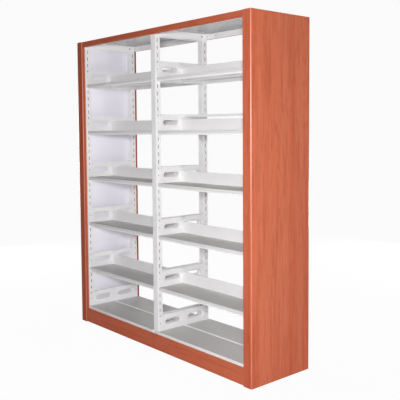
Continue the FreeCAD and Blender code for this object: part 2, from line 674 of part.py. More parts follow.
def bracket():
    """Plate on the right side of a frame, with its oval holes at height 0."""
    flange_y = UPRIGHT_IN - FLANGE_END_GAP
    top = EYE_TO_TOP
    foot = EYE_TO_SEAT - BRACKET_WALL
    plate = box(BRACKET_BACK_X, BRACKET_FACE_X, -BRACKET_END_Y, BRACKET_END_Y, foot, top)
    solids = [plate]
    solids.append(box(BRACKET_FACE_X - TOP_FLANGE, BRACKET_BACK_X, -flange_y, flange_y,
                      top - BRACKET_WALL, top))
    dish_y = (MIDDLE_CLEAR + UPRIGHT_IN) / 2
    dish_length = UPRIGHT_IN - MIDDLE_CLEAR - 2 * DISH_MARGIN
    eye_length = dish_length - 2 * EYE_RIM
    cuts = []
    for row in ROWS.values():
        solids.append(box(BRACKET_FACE_X - BRACKET_WALL / 2, BRACKET_FACE_X + SEAT_FLANGE,
                          row * FLANGE_END_GAP, row * (BRACKET_END_Y - FLANGE_END_GAP),
                          foot, EYE_TO_SEAT))
        solids.append(oval_cone(BRACKET_BACK_X, BRACKET_BACK_X - DISH_DEPTH, row * dish_y,
                                dish_length, DISH_HEIGHT, DISH_SLOPE))
        cuts.append(oval_cone(BRACKET_FACE_X, BRACKET_FACE_X - DISH_DEPTH, row * dish_y,
                              dish_length, DISH_HEIGHT, DISH_SLOPE))
        eye = Part.Face(oval_wire(0, row * dish_y, 0, eye_length, EYE_OPENING))
        cuts.append(eye.extrude(Vector(BRACKET_FACE_X + 1, 0, 0)))
        cuts.append(rod(LOCK_HOLE_RADIUS, Vector(BRACKET_BACK_X - 1, row * SLOT_Y, 0),
                        Vector(BRACKET_FACE_X + 1, row * SLOT_Y, 0)))
        cuts.append(box(0, BRACKET_FACE_X + 1, row * flange_y, row * (BRACKET_END_Y + 1),
                        EYE_TO_TAB_TOP, top + 1))
        slot_y = row * STOP_SLOT_SPACING / 2
        cuts.append(box(BRACKET_BACK_X - 1, BRACKET_FACE_X + 1,
                        slot_y - STOP_SLOT_WIDTH / 2, slot_y + STOP_SLOT_WIDTH / 2,
                        top - STOP_SLOT_DROP - STOP_SLOT_HEIGHT, top - STOP_SLOT_DROP))
    shape = joined(solids).cut(Part.makeCompound(cuts))
    hooks = []
    for step in (-1, 0, 1):
        for part in hook(step * SLOT_PITCH - EYE_ABOVE_SLOT):
            hooks.append(part)
            hooks.append(mirrored_y(part))
    return joined([shape] + hooks)


def stop_bar():
    """Flat bar at the middle of a bay between two brackets; its top is under their top edge."""
    end = BAY_PITCH / 2 - BRACKET_FACE_X
    top = EYE_TO_TOP - STOP_BAR_DROP
    foot = top - STOP_BAR_HEIGHT
    plate_y = STOP_SLOT_SPACING / 2 + STOP_SLOT_WIDTH / 2
    prong_foot = EYE_TO_TOP - STOP_SLOT_DROP - STOP_SLOT_HEIGHT
    solids = [box(-end, end, -STOP_BAR_THICKNESS / 2, STOP_BAR_THICKNESS / 2, foot, top)]
    for side in SIDES.values():
        solids.append(box(side * (end - STOP_END_WALL), side * end, -plate_y, plate_y, foot, top))
        for row in ROWS.values():
            y0 = row * STOP_SLOT_SPACING / 2 - STOP_PRONG_WIDTH / 2
            y1 = y0 + STOP_PRONG_WIDTH
            back = end + BRACKET_WALL + HOOK_PLAY
            solids.append(box(side * (end - STOP_END_WALL), side * (back + STOP_PRONG_REACH),
                              y0, y1, prong_foot, prong_foot + STOP_PRONG_HEIGHT))
            solids.append(box(side * back, side * (back + STOP_PRONG_REACH),
                              y0, y1, prong_foot - STOP_PRONG_HEIGHT, prong_foot))
    return joined(solids)


# ---- the whole unit ----------------------------------------------------------------------------

def frame_parts():
    parts = {}
    rear_upright = upright()
    for frame, x in FRAMES.items():
        for row in ROWS:
            parts["upright_%s_%s" % (frame, row)] = [placed(in_row(rear_upright, row), x)]
    parts["head_channels"] = [placed(head_channel(frame), x) for frame, x in FRAMES.items()]
    parts["foot_channels"] = [placed(foot_channel(frame), x) for frame, x in FRAMES.items()]
    foot = levelling_foot()
    parts["levelling_feet"] = [placed(in_row(foot, row), x) for x in FRAMES.values() for row in ROWS]
    parts["tie_bolts"] = tie_bolts()
    return parts


def board_parts():
    panel = end_panel()
    liner = end_liner()
    parts = {
        "end_panel_right": [panel],
        "end_panel_left": [mirrored_x(panel)],
        "end_liner_right": [liner],
        "end_liner_left": [mirrored_x(liner)],
        "wood_screws": wood_screws(),
        "dowels": dowels(),
    }
    for row in ROWS:
        parts["plinth_%s" % row] = [in_row(plinth(), row)]
        parts["fascia_%s" % row] = [in_row(fascia(), row)]
    return parts


def bay_parts():
    parts = {}
    shelf = tray(SHELF_LIP_Y, BACK_RISE)
    base = tray(UPRIGHT_OUT + BASE_DECK_OVERHANG, BASE_DECK_BACK_RISE)
    right_plate = bracket()
    for bay, middle in BAYS.items():
        parts["top_deck_%s" % bay] = [top_deck(bay)]
        for row in ROWS:
            parts["base_deck_%s_%s" % (bay, row)] = [placed(in_row(base, row), middle,
                                                            z=shelf_height(0))]
        for level in range(LEVELS):
            z = eye_height(level)
            name = "base" if level == 0 else str(level)
            parts["brackets_%s_%s" % (bay, name)] = [
                placed(right_plate, middle - BAY_PITCH / 2, z=z),
                placed(mirrored_x(right_plate), middle + BAY_PITCH / 2, z=z)]
            if level == 0:
                continue
            for row in ROWS:
                parts["shelf_%s_%s_%d" % (bay, row, level)] = [placed(in_row(shelf, row), middle,
                                                                      z=shelf_height(level))]
    stop_level = LEVELS - 2
    parts["stop_bar"] = [placed(stop_bar(), BAYS["right"], z=eye_height(stop_level))]
    return parts


def build():
    parts = {}
    parts.update(frame_parts())
    parts.update(board_parts())
    parts.update(bay_parts())
    return parts


os.makedirs("parts", exist_ok=True)
for node, solids in build().items():
    shape = solids[0] if len(solids) == 1 else Part.makeCompound(solids)
    shape.exportStep("parts/%s.step" % node)
    print("%-26s %3d solids" % (node, len(shape.Solids)))
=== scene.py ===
import bmesh
import bpy
import math
from mathutils import Matrix, Vector


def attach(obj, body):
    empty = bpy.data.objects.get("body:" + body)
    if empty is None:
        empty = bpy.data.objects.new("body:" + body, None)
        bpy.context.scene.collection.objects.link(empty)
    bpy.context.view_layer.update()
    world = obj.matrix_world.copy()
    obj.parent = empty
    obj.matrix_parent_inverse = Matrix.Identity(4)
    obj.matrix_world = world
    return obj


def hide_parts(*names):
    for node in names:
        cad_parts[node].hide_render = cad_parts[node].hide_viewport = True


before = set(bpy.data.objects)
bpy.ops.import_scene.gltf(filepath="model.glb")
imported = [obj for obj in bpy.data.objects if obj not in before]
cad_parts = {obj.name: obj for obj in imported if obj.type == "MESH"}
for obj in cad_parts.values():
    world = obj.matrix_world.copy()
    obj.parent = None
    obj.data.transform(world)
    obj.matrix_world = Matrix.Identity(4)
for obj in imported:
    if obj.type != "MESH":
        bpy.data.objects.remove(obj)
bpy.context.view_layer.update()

# ---- Steel frames ------------------------------------------------------------------------------
# Uprights of slotted rectangular tube, tied by folded channels at the head and the foot, all
# sprayed with the same white powder, which hardly reaches the inside of the tubes. Each piece is
# its solid with the arrises rounded over, as pressed and coated steel has no sharp ones.

FRAMES = {"left": -0.9, "middle": 0.0, "right": 0.9}
ROWS = {"front": -1, "rear": 1}
TUBE_OUT = 0.232
TUBE_DEPTH = 0.042
TUBE_WIDTH = 0.050
TUBE_WALL = 0.0015
STEEL_ARRIS = 0.0004
ARRIS_SEGMENTS = 2
CREASE_TURN = 20              # degrees; a gentler turn than this is part of a curve
ARRIS_TURN = 50               # a sharper turn than this is a cut or folded edge
SHADE_TURN = 48               # a gentler turn than this is shaded as smooth
SAME_POINT = 1e-6
STEEL_WHITE = (240, 239, 240)
ARRIS_HIGHLIGHT = (250, 250, 250)
BARE_STEEL = (84, 84, 87)
OVERSPRAY = (150, 150, 152)
CLOUD_SCALE = (2.3, 2.3, 1.6)
PEEL_SCALE = 260.0
SPECK_SCALE = 420.0
PEEL_STRENGTH = 0.12
PEEL_DEPTH = 0.0004


def colour(red, green, blue):
    """Screen values from 0 to 255 as the linear colour that a shader's socket takes."""
    linear = []
    for value in (red, green, blue):
        share = value / 255
        linear.append(share / 12.92 if share <= 0.04045 else ((share + 0.055) / 1.055) ** 2.4)
    return (*linear, 1.0)


def wire(tree, kind, inputs=None, **settings):
    """A new shader node: its settings, and its inputs by name, each with a value or a link."""
    node = tree.nodes.new(kind)
    for name, value in settings.items():
        setattr(node, name, value)
    for name, value in (inputs or {}).items():
        if isinstance(value, bpy.types.NodeSocket):
            tree.links.new(value, node.inputs[name])
        else:
            node.inputs[name].default_value = value
    return node


def math_node(tree, operation, first, second=0.5):
    return wire(tree, "ShaderNodeMath", {0: first, 1: second}, operation=operation).outputs[0]


def mixed(tree, share, first, second, blend="MIX"):
    """Two colours mixed, and the result's socket."""
    node = wire(tree, "ShaderNodeMix", data_type="RGBA", blend_type=blend)
    for index, value in ((0, share), (6, first), (7, second)):
        if isinstance(value, bpy.types.NodeSocket):
            tree.links.new(value, node.inputs[index])
        else:
            node.inputs[index].default_value = value
    return node.outputs[2]


def ramped(tree, value, low, high, to_low=0.0, to_high=1.0):
    """A value taken from one range to another and kept inside it."""
    inputs = {"Value": value, "From Min": low, "From Max": high, "To Min": to_low, "To Max": to_high}
    return wire(tree, "ShaderNodeMapRange", inputs, clamp=True).outputs["Result"]


def stretched_noise(tree, place, scale, detail=2.0, roughness=0.5):
    """Noise with its own scale along each axis, in cycles per metre."""
    scaled = wire(tree, "ShaderNodeVectorMath", {0: place, 1: scale}, operation="MULTIPLY").outputs[0]
    inputs = {"Vector": scaled, "Scale": 1.0, "Detail": detail, "Roughness": roughness}
    return wire(tree, "ShaderNodeTexNoise", inputs).outputs["Fac"]


def even_noise(tree, place, scale, detail=2.0):
    """Noise with the same scale along every axis."""
    return stretched_noise(tree, place, (scale, scale, scale), detail)


def tinted(tree, shade, value):
    """A colour made lighter or darker, and the result's socket."""
    inputs = {"Color": shade, "Value": value}
    return wire(tree, "ShaderNodeHueSaturation", inputs).outputs["Color"]


def new_group(name, inputs, outputs):
    """An empty node group with named sockets; returns the tree, its inputs' and outputs' nodes."""
    tree = bpy.data.node_groups.new(name, "ShaderNodeTree")
    for socket, kind, value in inputs:
        made = tree.interface.new_socket(socket, in_out="INPUT", socket_type="NodeSocket" + kind)
        if value is not None:
            made.default_value = value
    for socket, kind in outputs:
        tree.interface.new_socket(socket, in_out="OUTPUT", socket_type="NodeSocket" + kind)
    return tree, tree.nodes.new("NodeGroupInput").outputs, tree.nodes.new("NodeGroupOutput").inputs


def powder_coat_group():
    """Sprayed and baked powder: a faint orange peel, slow changes of tone, and arrises that are
    smoother and painted lighter, a painted highlight.
    """
    tree, given, result = new_group(
        "powder_coat",
        [("Place", "Vector", None), ("Colour", "Color", None), ("Highlight Colour", "Color", None),
         ("Arris", "Float", 0.0), ("Roughness", "Float", 0.4)],
        [("Colour", "Color"), ("Roughness", "Float"), ("Peel", "Float")])
    cloud = stretched_noise(tree, given["Place"], CLOUD_SCALE, detail=3.0)
    toned = tinted(tree, given["Colour"], ramped(tree, cloud, 0.3, 0.7, 0.965, 1.02))
    # arrises mixed towards a lighter colour: a painted highlight
    edge = math_node(tree, "MULTIPLY", given["Arris"], 0.6)
    tree.links.new(mixed(tree, edge, toned, given["Highlight Colour"]), result["Colour"])
    rough = ramped(tree, cloud, 0.3, 0.7, -0.04, 0.05)
    rough = math_node(tree, "ADD", given["Roughness"], rough)
    rough = math_node(tree, "SUBTRACT", rough, math_node(tree, "MULTIPLY", given["Arris"], 0.08))
    tree.links.new(rough, result["Roughness"])
    peel = even_noise(tree, given["Place"], PEEL_SCALE)
    speck = even_noise(tree, given["Place"], SPECK_SCALE, detail=1.0)
    tree.links.new(math_node(tree, "ADD", peel, math_node(tree, "MULTIPLY", speck, 0.4)),
                   result["Peel"])
    return tree


POWDER_COAT = powder_coat_group()


def new_material(name):
    """A material with only its surface's shader, its tree and the shader's inputs."""
    material = bpy.data.materials.new(name)
    material.use_nodes = True
    tree = material.node_tree
    tree.nodes.clear()
    shader = tree.nodes.new("ShaderNodeBsdfPrincipled")
    output = tree.nodes.new("ShaderNodeOutputMaterial")
    tree.links.new(shader.outputs["BSDF"], output.inputs["Surface"])
    return material, tree, shader.inputs


def own_place(tree):
    return wire(tree, "ShaderNodeTexCoord").outputs["Object"]


def rounded_share(tree):
    """1 on the rounded arrises of a piece and 0 on its flat faces."""
    return wire(tree, "ShaderNodeAttribute", attribute_name="arris").outputs["Fac"]


def raised(tree, height, strength, distance):
    inputs = {"Height": height, "Strength": strength, "Distance": distance}
    return wire(tree, "ShaderNodeBump", inputs).outputs["Normal"]


def coated_steel(name, shade, roughness, gloss):
    """Powder-coated sheet steel; gloss is the share of light that its surface mirrors."""
    material, tree, shader = new_material(name)
    coat = wire(tree, "ShaderNodeGroup", node_tree=POWDER_COAT)
    tree.links.new(own_place(tree), coat.inputs["Place"])
    tree.links.new(rounded_share(tree), coat.inputs["Arris"])
    coat.inputs["Colour"].default_value = colour(*shade)
    coat.inputs["Highlight Colour"].default_value = colour(*ARRIS_HIGHLIGHT)
    coat.inputs["Roughness"].default_value = roughness
    tree.links.new(coat.outputs["Colour"], shader["Base Color"])
    tree.links.new(coat.outputs["Roughness"], shader["Roughness"])
    tree.links.new(raised(tree, coat.outputs["Peel"], PEEL_STRENGTH, PEEL_DEPTH), shader["Normal"])
    shader["Specular IOR Level"].default_value = gloss
    return material


def tube_inside_coat():
    """Bare steel with the little powder that drifted into the tube."""
    material, tree, shader = new_material("tube_inside")
    drift = stretched_noise(tree, own_place(tree), (30.0, 30.0, 12.0), detail=3.0)
    shade = mixed(tree, ramped(tree, drift, 0.5, 0.75), colour(*BARE_STEEL), colour(*OVERSPRAY))
    tree.links.new(shade, shader["Base Color"])
    tree.links.new(ramped(tree, drift, 0.3, 0.7, 0.45, 0.7), shader["Roughness"])
    return material


def round_arrises(bm, arris, crease=0.0):
    """Round a solid's sharp arrises, and its shallow creases if asked, and mark the arrises."""
    rounded = bm.faces.layers.float.new("arris")
    for width, low, high in ((crease, CREASE_TURN, ARRIS_TURN), (arris, ARRIS_TURN, 181)):
        if width == 0.0:
            continue
        turns = [(edge, math.degrees(edge.calc_face_angle(0.0))) for edge in bm.edges]
        sharp = [edge for edge, turn in turns if low <= turn < high]
        made = bmesh.ops.bevel(bm, geom=sharp, offset=width, offset_type="OFFSET", profile=0.5,
                               segments=ARRIS_SEGMENTS, affect="EDGES", clamp_overlap=True)
        if width == arris:
            for face in made["faces"]:
                face[rounded] = 1.0


def finished_mesh(name, bm):
    """The mesh as an object, smooth where its faces turn gently."""
    for face in bm.faces:
        face.smooth = True
    for edge in bm.edges:
        edge.smooth = edge.calc_face_angle(0.0) < math.radians(SHADE_TURN)
    mesh = bpy.data.meshes.new(name + "_shape")
    bm.to_mesh(mesh)
    bm.free()
    piece = bpy.data.objects.new(name + "_finished", mesh)
    bpy.context.scene.collection.objects.link(piece)
    weighted = piece.modifiers.new("flat_faces_stay_flat", "WEIGHTED_NORMAL")
    weighted.keep_sharp = True
    return piece


def solid_of(node):
    """A CAD node's solid as an editable mesh, with its points joined."""
    bm = bmesh.new()
    bm.from_mesh(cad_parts[node].data)
    bmesh.ops.remove_doubles(bm, verts=bm.verts, dist=SAME_POINT)
    return bm


def soft_edged(node, arris, crease=0.0):
    """A CAD node's solid with its arrises rounded."""
    bm = solid_of(node)
    bmesh.ops.dissolve_limit(bm, angle_limit=math.radians(1), verts=bm.verts, edges=bm.edges)
    round_arrises(bm, arris, crease)
    return finished_mesh(node, bm)


def stands_for(piece, node, material, body="root"):
    """The piece takes a CAD node's place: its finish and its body."""
    piece.data.materials.clear()
    piece.data.materials.append(material)
    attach(piece, body)
    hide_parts(node)


def second_finish(piece, material, belongs):
    """Gives another material to the faces that belongs() picks by centre and normal."""
    piece.data.materials.append(material)
    for face in piece.data.polygons:
        if belongs(face.center, face.normal):
            face.material_index = len(piece.data.materials) - 1


def in_bore(frame_x, row):
    """Tells whether a face's centre is on the inside of an upright's tube."""
    wall = 0.9 * TUBE_WALL
    reach = TUBE_WIDTH / 2 - wall
    low, high = TUBE_OUT - TUBE_DEPTH + wall, TUBE_OUT - wall
    return lambda centre, normal: abs(centre.x - frame_x) < reach and low < centre.y * row < high


frame_coat = coated_steel("frame_powder_coat", STEEL_WHITE, roughness=0.4, gloss=0.25)
bore_coat = tube_inside_coat()
for frame_name, frame_x in FRAMES.items():
    for row_name, row in ROWS.items():
        upright = "upright_%s_%s" % (frame_name, row_name)
        piece = soft_edged(upright, STEEL_ARRIS)
        stands_for(piece, upright, frame_coat)
        second_finish(piece, bore_coat, in_bore(frame_x, row))
for channels in ("head_channels", "foot_channels"):
    stands_for(soft_edged(channels, STEEL_ARRIS), channels, frame_coat)

# ---- Brackets and stop bar ---------------------------------------------------------------------
# Pressed plates hooked into the uprights, one pair for each level of each bay. Dished fields
# with oval holes stiffen them, so their creases are rounder than a cut edge. The stop bar is
# a strip that hangs between two of them.

BAYS = ("left", "right")
LEVELS = ("base", "1", "2", "3", "4", "5")
PRESSED_CREASE = 0.0014

for bay in BAYS:
    for level in LEVELS:
        brackets = "brackets_%s_%s" % (bay, level)
        piece = soft_edged(brackets, STEEL_ARRIS, crease=PRESSED_CREASE)
        stands_for(piece, brackets, frame_coat)
stands_for(soft_edged("stop_bar", STEEL_ARRIS), "stop_bar", frame_coat)

# ---- Shelves and base decks --------------------------------------------------------------------
# Trays folded from one coated sheet: a stepped lip at the front, a hemmed upstand at the back.
# They lie loose on the brackets. Their lips and tops are greyer than the rest, a painted shade, and
# books slid in and out rub faint lines across the tops.

SHELF_WHITE = (246, 245, 245)
# painted shade: the shelf tops and the lips are greyer than the rest of the tray
SHADED_TOP = (208, 206, 205)
RUBBED = (190, 189, 190)
LIP_SHADED_WHITE = (222, 221, 221)
RUB_SHARE = 0.5
LIP_FACE = 0.224
LIP_TOLERANCE = 0.0005
HEM_REACH = 0.0085            # the upstand's hem lies within this of the unit's middle


def rubbed_lines_group():
    """Fine lines that run from the front of a tray to its back, in patches."""
    tree, given, result = new_group("rubbed_lines", [("Place", "Vector", None)], [("Lines", "Float")])
    lines = stretched_noise(tree, given["Place"], (620.0, 5.0, 5.0), detail=3.0)
    patches = stretched_noise(tree, given["Place"], (5.0, 2.5, 9.0), detail=1.0)
    tree.links.new(math_node(tree, "MULTIPLY", ramped(tree, lines, 0.56, 0.74),
                             ramped(tree, patches, 0.42, 0.62)), result["Lines"])
    return tree


RUBBED_LINES = rubbed_lines_group()


def worn_coat(name, shade, roughness, gloss):
    """The coat where books stand, rubbed in fine lines; the darker tone it is given is a painted
    shade.
    """
    material = coated_steel(name, shade, roughness, gloss)
    tree = material.node_tree
    shader = tree.nodes["Principled BSDF"].inputs
    lines = wire(tree, "ShaderNodeGroup", {"Place": own_place(tree)}, node_tree=RUBBED_LINES).outputs
    plain = shader["Base Color"].links[0].from_socket
    share = math_node(tree, "MULTIPLY", lines["Lines"], RUB_SHARE)
    tree.links.new(mixed(tree, share, plain, colour(*RUBBED)), shader["Base Color"])
    return material


def on_top(centre, normal):
    return normal.z > 0.95 and abs(centre.y) > HEM_REACH


def on_lip(centre, normal):
    return abs(normal.y) > 0.9 and abs(abs(centre.y) - LIP_FACE) < LIP_TOLERANCE


tray_coat = coated_steel("shelf_powder_coat", SHELF_WHITE, roughness=0.5, gloss=0.12)
# The tops' greyer tone is a painted shade and their rubbed lines are wear; the lips' greyer coat is a
# painted shade.
rubbed_shaded_top_coat = worn_coat("shelf_top_worn_coat", SHADED_TOP, roughness=0.42, gloss=0.3)
lip_shade_coat = coated_steel("lip_painted_shade_coat", LIP_SHADED_WHITE, roughness=0.5, gloss=0.12)
for bay in BAYS:
    for row_name in ROWS:
        deck = "base_deck_%s_%s" % (bay, row_name)
        piece = soft_edged(deck, STEEL_ARRIS)
        stands_for(piece, deck, tray_coat)
        second_finish(piece, rubbed_shaded_top_coat, on_top)
        for level in LEVELS[1:]:
            shelf = "shelf_%s_%s_%s" % (bay, row_name, level)
            piece = soft_edged(shelf, STEEL_ARRIS)
            stands_for(piece, shelf, tray_coat, body=shelf)
            second_finish(piece, rubbed_shaded_top_coat, on_top)
            second_finish(piece, lip_shade_coat, on_lip)

# ---- Top decks ---------------------------------------------------------------------------------
# One sheet over each bay, folded down to a rail along the front and the rear, which is screwed to
# the fascia. It has the frames' coat but smoother, and a greyer, glossier one underneath, whose
# greyness is a painted shade.

UNDERSIDE_SHADE = (176, 176, 178)
deck_coat = coated_steel("deck_powder_coat", STEEL_WHITE, roughness=0.3, gloss=0.25)
# The underside's greyer coat is a painted shade.
underside_shade_coat = coated_steel("deck_underside_coat", UNDERSIDE_SHADE, roughness=0.25, gloss=0.3)
for bay in BAYS:
    deck = "top_deck_" + bay
    piece = soft_edged(deck, STEEL_ARRIS)
    stands_for(piece, deck, deck_coat)
    second_finish(piece, underside_shade_coat, lambda centre, normal: normal.z < -0.95)

# ---- End panels --------------------------------------------------------------------------------
# Thick boards faced with a red-brown wood-grain laminate, wrapped round their noses without a
# joint. The grain runs up them, hands polish the roundings, and a thin dark band covers the sawn
# top and foot.

SIDES = {"left": -1, "right": 1}
PANEL_HEIGHT = 2.2
PANEL_OUT = 0.9565
PANEL_IN = 0.9285
NOSE_IN = 0.8865
NOSE_OUT = 0.2575
OUTER_ROUND = 0.008
INNER_ROUND = 0.005
ARC_STEPS = 12
PANEL_ARRIS = 0.0011
WOOD_LIGHT = (217, 122, 91)
WOOD_BODY = (206, 106, 76)
WOOD_DARK = (150, 62, 38)
FACE_TOLERANCE = 0.0002
BAND_SHARE = 0.55             # how far the laminate goes from its own tones to the dark one
# painted shade: how far the noses' fronts (left more than right) and inner sides (rear more than
# front) are darkened
NOSE_SHADE_SHARE = {"left": 0.52, "right": 0.28}
NOSE_SIDE_SHADE_SHARE = {"front": 0.3, "rear": 0.9}
GRAIN_STRENGTH = 0.08
GRAIN_DEPTH = 0.0005
FLAT_GLOSS = 0.03
POLISH_ROUGHNESS = 0.33
POLISH_IOR = 1.7
UPRIGHT_GRAIN = (0, 0, 0)
PANEL_SHEETS = {"left": (3.1, 0.7, 5.3), "right": (0.0, 0.0, 0.0)}


def wood_grain_group():
    """Printed grain along Z: broad bands, faint arches, figure, short dashes and fine pores, and
    arrises painted lighter as a highlight.
    """
    tree, given, result = new_group(
        "wood_grain",
        [("Place", "Vector", None), ("Light", "Color", None), ("Body", "Color", None),
         ("Dark", "Color", None), ("Arris", "Float", 0.0)],
        [("Colour", "Color"), ("Roughness", "Float"), ("Relief", "Float")])
    place = given["Place"]
    bands = stretched_noise(tree, place, (9.0, 9.0, 0.4), detail=2.0)
    figure = stretched_noise(tree, place, (42.0, 42.0, 1.9), detail=3.0, roughness=0.55)
    dashes = stretched_noise(tree, place, (150.0, 150.0, 9.0), detail=3.0, roughness=0.6)
    pores = ramped(tree, stretched_noise(tree, place, (640.0, 640.0, 36.0), detail=1.0), 0.6, 0.72)
    hills = stretched_noise(tree, place, (5.0, 5.0, 0.5), detail=1.0)
    arches = math_node(tree, "SINE", math_node(tree, "MULTIPLY", hills, 150.0))
    arches = math_node(tree, "MULTIPLY", ramped(tree, arches, 0.2, 0.95),
                       ramped(tree, bands, 0.45, 0.6))
    shade = mixed(tree, ramped(tree, bands, 0.35, 0.68), given["Body"], given["Light"])
    # The last layer paints the rounded arrises lighter: a painted highlight.
    layers = ((figure, 0.5, 0.72, 0.34, "Dark"), (dashes, 0.52, 0.74, 0.42, "Light"),
              (dashes, 0.46, 0.26, 0.4, "Dark"), (arches, 0.0, 1.0, 0.1, "Dark"),
              (pores, 0.0, 1.0, 0.2, "Dark"), (given["Arris"], 0.0, 1.0, 0.25, "Light"))
    for mask, low, high, share, tone in layers:
        shade = mixed(tree, ramped(tree, mask, low, high, 0.0, share), shade, given[tone])
    tree.links.new(shade, result["Colour"])
    tree.links.new(ramped(tree, dashes, 0.3, 0.7, 0.26, 0.34), result["Roughness"])
    tree.links.new(math_node(tree, "SUBTRACT", dashes, pores), result["Relief"])
    return tree


WOOD_GRAIN = wood_grain_group()


def blend_of(first, second, share):
    return tuple(one + (other - one) * share for one, other in zip(first, second))


def laminate(name, turn, shift, darker=0.0):
    """Wood-grain laminate; turn brings its grain to Z, and shift takes another part of the print."""
    material, tree, shader = new_material(name)
    inputs = {"Vector": own_place(tree), "Rotation": turn, "Location": shift}
    place = wire(tree, "ShaderNodeMapping", inputs).outputs["Vector"]
    grain = wire(tree, "ShaderNodeGroup", node_tree=WOOD_GRAIN)
    tree.links.new(place, grain.inputs["Place"])
    tree.links.new(rounded_share(tree), grain.inputs["Arris"])
    # darker takes every tone towards the dark one: for the edge band, and as a painted shade on the
    # noses and the boards.
    for socket, shade in (("Light", WOOD_LIGHT), ("Body", WOOD_BODY), ("Dark", WOOD_DARK)):
        grain.inputs[socket].default_value = colour(*blend_of(shade, WOOD_DARK, darker))
    tree.links.new(grain.outputs["Colour"], shader["Base Color"])
    tree.links.new(grain.outputs["Roughness"], shader["Roughness"])
    relief = raised(tree, grain.outputs["Relief"], GRAIN_STRENGTH, GRAIN_DEPTH)
    tree.links.new(relief, shader["Normal"])
    shader["Specular IOR Level"].default_value = FLAT_GLOSS
    polished = wire(tree, "ShaderNodeAttribute", attribute_name="rounding").outputs["Fac"]
    tree.links.new(polished, shader["Coat Weight"])
    shader["Coat Roughness"].default_value = POLISH_ROUGHNESS
    shader["Coat IOR"].default_value = POLISH_IOR
    return material


def arc(x, y, radius, start):
    """Quarter circle round (x, y), clockwise from start degrees."""
    angles = [math.radians(start - 90 * step / ARC_STEPS) for step in range(ARC_STEPS + 1)]
    return [(x + radius * math.cos(angle), y + radius * math.sin(angle)) for angle in angles]


def end_panel(side):
    """C-shaped board in plan, drawn for the right end and turned round for the left one."""
    points = [(NOSE_IN, -TUBE_OUT), (PANEL_IN, -TUBE_OUT), (PANEL_IN, TUBE_OUT), (NOSE_IN, TUBE_OUT)]
    points += arc(NOSE_IN + INNER_ROUND, NOSE_OUT - INNER_ROUND, INNER_ROUND, 180)
    points += arc(PANEL_OUT - OUTER_ROUND, NOSE_OUT - OUTER_ROUND, OUTER_ROUND, 90)
    points += arc(PANEL_OUT - OUTER_ROUND, OUTER_ROUND - NOSE_OUT, OUTER_ROUND, 0)
    points += arc(NOSE_IN + INNER_ROUND, INNER_ROUND - NOSE_OUT, INNER_ROUND, -90)
    turn = SIDES[side]
    bm = bmesh.new()
    foot = bm.faces.new([bm.verts.new((turn * x, turn * y, 0)) for x, y in points])
    made = bmesh.ops.extrude_face_region(bm, geom=[foot], use_keep_orig=True)["geom"]
    bmesh.ops.translate(bm, vec=(0, 0, PANEL_HEIGHT),
                        verts=[part for part in made if isinstance(part, bmesh.types.BMVert)])
    bmesh.ops.recalc_face_normals(bm, faces=bm.faces)
    polished = bm.faces.layers.float.new("rounding")
    for face in bm.faces:
        face[polished] = 2 * abs(face.normal.x * face.normal.y)
    round_arrises(bm, PANEL_ARRIS)
    return finished_mesh("end_panel_" + side, bm)


def at_board_end(centre, normal):
    return not PANEL_ARRIS < centre.z < PANEL_HEIGHT - PANEL_ARRIS


def on_nose_front(centre, normal):
    return abs(centre.y) > NOSE_OUT - FACE_TOLERANCE


def on_nose_side(row):
    """Tells whether a face is on the inner side of the front nose or of the rear one."""
    return lambda centre, normal: abs(centre.x) < NOSE_IN + FACE_TOLERANCE and centre.y * row > 0


for side, sheet in PANEL_SHEETS.items():
    piece = end_panel(side)
    board = laminate("panel_laminate_" + side, UPRIGHT_GRAIN, sheet)
    stands_for(piece, "end_panel_" + side, board)
    # The noses' fronts and inner sides take darker copies of the laminate, a painted shade; the band
    # on the top and foot is the board's own dark band.
    finishes = [("nose_shaded_laminate_", NOSE_SHADE_SHARE[side], on_nose_front)]
    for row_name, row in ROWS.items():
        finishes.append(("nose_%s_laminate_" % row_name, NOSE_SIDE_SHADE_SHARE[row_name], on_nose_side(row)))
    finishes.append(("edge_band_", BAND_SHARE, at_board_end))
    for name, share, belongs in finishes:
        second_finish(piece, laminate("panel_" + name + side, UPRIGHT_GRAIN, sheet, share), belongs)

# ---- Plinths and fascias -----------------------------------------------------------------------
# Boards between the panels' noses at the foot and the head, in the same laminate with its grain
# along them, darkened as a painted shade, the fascias more than the plinths. Their long outer
# edges are slightly rounded.

LEVEL_GRAIN = (0.0, math.radians(90), 0.0)
BOARD_ARRIS = 0.0008
# each board's second number is a painted shade: how far its laminate is darkened
BOARDS = {"plinth": ((1.7, 2.9, 0.4), 0.18), "fascia": ((4.3, 0.2, 3.9), 0.36)}

for board, (sheet, share) in BOARDS.items():
    finish = laminate(board + "_laminate", LEVEL_GRAIN, sheet, share)
    for row_name in ROWS:
        node = "%s_%s" % (board, row_name)
        stands_for(soft_edged(node, BOARD_ARRIS), node, finish)

# ---- Liners ------------------------------------------------------------------------------------
# A thin steel sheet on each end panel's inner face, coated lilac-white and held between the panel
# and the end uprights.

LINER_LILAC = (243, 240, 249)
liner_coat = coated_steel("liner_coat", LINER_LILAC, roughness=0.45, gloss=0.25)
for side in SIDES:
    liner = "end_liner_" + side
    stands_for(soft_edged(liner, STEEL_ARRIS), liner, liner_coat)

# ---- Tie bolts and screws ----------------------------------------------------------------------
# Zinc-plated hardware: chamfered hexagon bolts and nuts that tie the channels to the uprights,
# and pan-head screws with a cross recess. What shows of it are the heads under the top decks.

